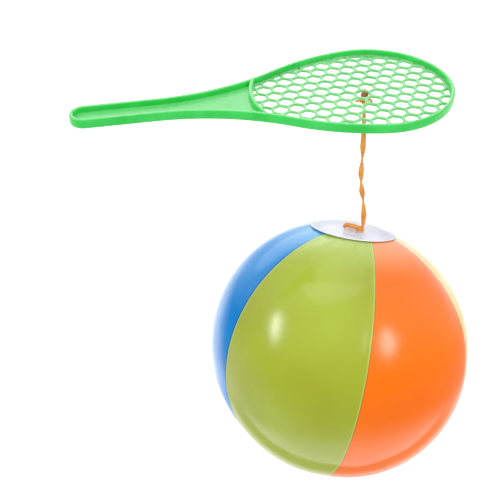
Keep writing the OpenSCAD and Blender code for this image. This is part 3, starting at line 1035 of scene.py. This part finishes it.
# Ball
def mended(mesh, sewn):
    """Drops loose points; a sewn mesh also gets its edges joined and its faces turned outwards."""
    shape = bmesh.new()
    shape.from_mesh(mesh)
    if sewn:
        bmesh.ops.remove_doubles(shape, verts=shape.verts, dist=0.0005)
        bmesh.ops.recalc_face_normals(shape, faces=shape.faces)
    bmesh.ops.delete(shape, geom=[v for v in shape.verts if not v.link_faces], context="VERTS")
    shape.to_mesh(mesh)
    shape.free()


def grid_mesh(name, rows, marks=(), skip=None, sewn=False):
    """A mesh through rows of points, with one row of quads between each two."""
    wide = len(rows[0])
    points = [tuple(p) for row in rows for p in row]
    faces = []
    for r in range(len(rows) - 1):
        for c in range(wide - 1):
            k = r * wide + c
            corners = (k, k + 1, k + wide + 1, k + wide)
            if skip is None or not all(skip[j] for j in corners):
                faces.append(corners)
    mesh = bpy.data.meshes.new(name)
    mesh.from_pydata(points, [], faces)
    for label, numbers in marks:
        mesh.attributes.new(label, "FLOAT", "POINT").data.foreach_set("value", numbers)
    if sewn or skip is not None:
        mended(mesh, sewn)
    return mesh


def film_piece(mesh, place, material, thickness, node, ring=False):
    """A piece of film on the ball; a ring of film is closed where its ends meet."""
    smooth(mesh)
    made = piece(mesh.name, mesh, place, material)
    if ring:
        made.modifiers.new("close", "WELD").merge_threshold = 0.00001
    walls = made.modifiers.new("film", "SOLIDIFY")
    walls.thickness = thickness * MM
    walls.offset = -1.0
    finished(made, "ball", node)


TO_BALL = AT_BALL.to_3x3().inverted()
OVAL_LONG = TO_BALL @ Vector((0.503, -0.603, -0.62)).normalized()
OVAL_SHORT = TO_BALL @ Vector((-0.832, -0.143, -0.536)).normalized()
OVAL = 0.0123
SWELL = 1.1
SWELL_CURVE = 2.4
SEAM_SINK = 0.7
GORE_SPAN = (360 - LIME_SPAN - ORANGE_SPAN) / 4
CAP_ANGLE = asin(CAP_R / BALL_R)
TOP_CAP_WAY = TO_BALL @ (AT_CAP.to_3x3() @ Vector((0, 0, 1)))
VALVE_WAY = Vector((cos(deg(VALVE_AT)), sin(deg(VALVE_AT)), 0))
VALVE_HOLE_R = STEM_D / 2 + 2 * RUN_GAP


def way(theta, phi):
    """The direction at an angle down from the pole and an angle round it."""
    return Vector((sin(theta) * cos(phi), sin(theta) * sin(phi), cos(theta)))


def blown(n):
    """Radius of the blown-up ball without its seams, with the film's slow and quick waves."""
    wave = 0.12 * noise.noise(n * 5.0) + 0.05 * noise.noise(n * 13.0)
    return BALL_R * (1 + OVAL * (n.dot(OVAL_LONG) ** 2 - n.dot(OVAL_SHORT) ** 2)) + wave


def panel_point(n, share):
    """A point of a panel; share runs from 0 at one of its seams to 1 at the other."""
    pleats, pleat_deep, pleat_at, pleat_wide = 26, 0.1, 0.4, 0.06
    ridge_high, ridge_in, ridge_wide = 0.2, 1, 0.7
    side = hypot(n.x, n.y)
    bulge = SWELL * side * (1 - abs(2 * share - 1) ** SWELL_CURVE - SEAM_SINK)
    pleat = pleat_deep * sin(atan2(n.y, n.x) * pleats) * exp(-((side - pleat_at) / pleat_wide) ** 2)
    off_valve = BALL_R
    if n.dot(VALVE_WAY) > 0:
        off_valve = asin(min(1.0, n.cross(VALVE_WAY).length)) * BALL_R
    weld = ridge_high * exp(-((off_valve - PATCH_R + ridge_in) / ridge_wide) ** 2)
    return n * (blown(n) + bulge + pleat + weld)


def off_caps(n):
    """Distance outwards from the edge of the nearer cap, in mm."""
    top = n.angle(TOP_CAP_WAY) - CAP_ANGLE
    low = n.angle(Vector((0, 0, -1))) - CAP_ANGLE
    return BALL_R * min(top, low)


def make_panel(colour, material, start, span, over):
    """One panel; a panel that lies over its neighbours has a raised lip past each seam."""
    steps_across, steps_down = 56, 150
    lap = 0.9 if over else -0.2
    lift = 0.16 if over else 0.0
    lip_flat, lip_slope, inner_from, hole_near = 1.2, 1.5, 2.8, 0.9
    rows, seam, ring_off, high, skip = [], [], [], [], []
    pole = asin(POINT_R / BALL_R)
    for r in range(steps_down + 1):
        theta = pole + (pi - 2 * pole) * r / steps_down
        width = BALL_R * sin(theta) * deg(span)
        near = [d / width for d in (-lap, -lap + 0.25, -lap + 0.5, 0.9, 1.8)]
        inner = np.linspace(inner_from / width, 1 - inner_from / width, steps_across)
        row = []
        for s in near + list(inner) + [1 - s for s in reversed(near)]:
            n = way(theta, deg(start + span * s))
            edge = min(s, 1 - s) * width + lap
            rise = lift * max(0.0, 1 - max(0.0, edge - lip_flat) / lip_slope)
            p = panel_point(n, min(1.0, max(0.0, s))) + n * rise
            away = p - VALVE_WAY * p.dot(VALVE_WAY)
            past_hole = away.length - VALVE_HOLE_R
            at_valve = colour == "yellow" and p.dot(VALVE_WAY) > 0 and past_hole < hole_near
            if at_valve and past_hole > -hole_near:
                p -= away.normalized() * past_hole
            row.append(p)
            seam.append(edge)
            ring_off.append(off_caps(n))
            high.append((AT_BALL.to_3x3() @ n).z)
            skip.append(at_valve)
        rows.append(row)
    marks = [("seam_mm", seam), ("cap_mm", ring_off), ("high", high)]
    mesh = grid_mesh("panel_" + colour, rows, marks, skip)
    mesh.flip_normals()
    film_piece(mesh, AT_BALL, material, FILM_T, "gore_" + colour)


def make_cap(name, node, place, up, lift):
    """A disc over the points of the panels, pressed in a ring and lifted at one side of its edge."""
    around, lift_at = 144, deg(195)
    levels = [0.4, 3, 6, 9, 12, 15, 18, 20.5, 22.5, 24, 25.2, 26.2, 27, 27.6, 28.1, 28.4, CAP_R]
    to_ball = TO_BALL @ place.to_3x3()
    rows, seam = [], []
    for radius in levels:
        theta = asin(radius / BALL_R)
        past_ring = max(0.0, (radius - PRESS_R) / (CAP_R - PRESS_R))
        dip = PRESS_DEEP * exp(-(radius - PRESS_R) ** 2)
        row = []
        for k in range(around):
            phi = 2 * pi * k / around
            n = way(theta, phi)
            n.z *= up
            lifted = 0.5 + 0.5 * cos(phi - lift_at)
            proud = CAP_T + CAP_REST + lift * lifted ** 2 * past_ring ** 2
            row.append(n * (blown(to_ball @ n) + proud - dip))
        rows.append(row + [row[0]])
        seam += [CAP_R - radius] * (around + 1)
    mesh = grid_mesh(name, rows, [("seam_mm", seam)])
    if up < 0:
        mesh.flip_normals()
    film_piece(mesh, place, CAP_WHITE, CAP_T, node, ring=True)


def make_ball():
    panels = [("lime", LIME, LIME_SPAN), ("orange", ORANGE, ORANGE_SPAN),
              ("yellow", YELLOW, GORE_SPAN), ("red", RED, GORE_SPAN),
              ("white", WHITE, GORE_SPAN), ("blue", BLUE, GORE_SPAN)]
    start = SEAM_FROM
    for k, (colour, material, span) in enumerate(panels):
        make_panel(colour, material, start, span, k % 2 == 0)
        start += span
    make_cap("cap_top", "top_cap", AT_CAP, 1, 0.75)
    make_cap("cap_bottom", "bottom_cap", AT_BALL, -1, 0.1)


def make_strap():
    """The clear tab, welded at both ends and open in the middle for the band."""
    arch_end = STRAP_ARCH / 2
    foot_end = arch_end + STRAP_FOOT
    half_steps, half_columns = 26, 8
    rows = []
    for k in range(2 * half_steps + 1):
        y = foot_end * (k / half_steps - 1)
        rise = (STRAP_RISE - STRAP_T) * (1 + cos(pi * min(1.0, abs(y) / arch_end))) / 2
        level = sqrt(CAP_OUT ** 2 - y * y) + rise + STRAP_T + STRAP_PROUD
        cut = max(0.0, STRAP_ROUND - (foot_end - abs(y)))
        half = STRAP_W / 2 - STRAP_ROUND + sqrt(STRAP_ROUND ** 2 - cut ** 2)
        rows.append([(half * (j / half_columns - 1), y, level) for j in range(2 * half_columns + 1)])
    mesh = grid_mesh("strap", rows)
    mesh.flip_normals()
    film_piece(mesh, AT_STRAP, CLEAR, STRAP_T, "cord_strap")


make_ball()
make_strap()


# Valve
MOUTH = BALL_R + RUN_GAP + LIP_T
TUBE_END = BALL_R - STEM_LEN
LIP_R = STEM_D / 2 + LIP_W


def rounded(corners, radius, closed):
    """The same outline with its corners rounded off."""
    pts = [Vector((r, 0, z)) for r, z in corners]
    line = []
    for k, p in enumerate(pts):
        if not closed and k in (0, len(pts) - 1):
            line.append(p)
            continue
        back, ahead = pts[k - 1] - p, pts[(k + 1) % len(pts)] - p
        cut = min(radius, back.length * 0.45, ahead.length * 0.45)
        a, b = p + back.normalized() * cut, p + ahead.normalized() * cut
        for j in range(5):
            t = j / 4
            line.append(a * (1 - t) ** 2 + p * 2 * t * (1 - t) + b * t * t)
    return line


def lathe(name, corners, radius, closed=True, around=72):
    """A turned piece from its outline, given as pairs of radius and height."""
    line = rounded(corners, radius, closed)
    if closed:
        line.append(line[0])
    turns = [turn("Z", 360 * k / around) for k in range(around + 1)]
    mesh = grid_mesh(name, [[turning @ p for turning in turns] for p in line], sewn=True)
    smooth(mesh, 50)
    return mesh


def ribbon(name, line, width, thick):
    """A flat strip with round edges along a line in the x, z plane."""
    around = 24
    rows = []
    for k, p in enumerate(line):
        ahead = line[min(k + 1, len(line) - 1)] - line[max(k - 1, 0)]
        out = Vector((-ahead.z, 0, ahead.x)).normalized()
        row = []
        for j in range(around + 1):
            c, s = cos(2 * pi * j / around), sin(2 * pi * j / around)
            flat = copysign(abs(c) ** 0.4, c) * width / 2
            row.append(p + Vector((0, flat, 0)) + out * copysign(abs(s) ** 0.6, s) * thick / 2)
        rows.append(row)
    ends = [[p] * (around + 1) for p in (line[0], line[-1])]
    mesh = grid_mesh(name, ends[:1] + rows + ends[1:], sewn=True)
    smooth(mesh)
    return mesh


def turned(name, corners, radius, body, node, closed=True):
    """A turned piece of the valve, in its place."""
    made = piece(name, lathe(name, corners, radius, closed), AT_VALVE, VALVE_WHITE)
    finished(made, body, node)


def make_valve():
    bore, tube, foot = STEM_BORE / 2, STEM_D / 2, STEM_D / 2 + STOP_W
    under, stop = MOUTH - LIP_T, TUBE_END + STOP_T
    corners = [(bore, MOUTH), (LIP_R, MOUTH), (LIP_R, under), (tube, under),
               (tube, stop), (foot, stop), (foot, TUBE_END), (bore, TUBE_END)]
    turned("valve_tube", corners, 0.35, "valve", "valve_stem")

    seat, head, shank = MOUTH + SKIN_GAP, PLUG_HEAD_D / 2, bore - PLUG_GAP
    top, end = seat + PLUG_HEAD_T, seat - PLUG_LEN
    dimple_in, dimple_out, dimple_deep = 2.6, 3.4, 0.5
    corners = [(0, top - dimple_deep), (dimple_in, top - dimple_deep), (dimple_out, top), (head, top),
               (head, seat), (shank, seat), (shank - PLUG_TAPER, end), (0, end)]
    turned("stopper", corners, 0.4, "plug", "valve_plug", closed=False)

    hole = STEM_D / 2 + RUN_GAP
    outer = BALL_R - FILM_T - SKIN_GAP
    shell = []
    for radius, order in ((outer, 1), (outer - PATCH_T, -1)):
        first, last = asin(hole / radius), asin(PATCH_R / radius)
        steps = [first + (last - first) * k / 10 for k in range(11)]
        shell += [(radius * sin(t), radius * cos(t)) for t in steps[::order]]
    turned("valve_patch", shell, 0.3, "ball", "valve_flange")

    gap, low, high = 0.03, MOUTH - TETHER_T, MOUTH + TETHER_T
    line = [Vector((LIP_R + gap, 0, low)), Vector((LIP_R + 0.5, 0, low))]
    for k in range(13):
        a = deg(-90 + 15 * k)
        line.append(Vector((LIP_R + 1 + TETHER_T * cos(a), 0, MOUTH + TETHER_T * sin(a))))
    line += [Vector((LIP_R, 0, high)), Vector((head + gap, 0, high))]
    mesh = ribbon("stopper_strap", line, TETHER_W, TETHER_T)
    strap = piece("stopper_strap", mesh, AT_VALVE, VALVE_WHITE)
    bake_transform(strap)
    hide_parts("plug_tether")


make_valve()
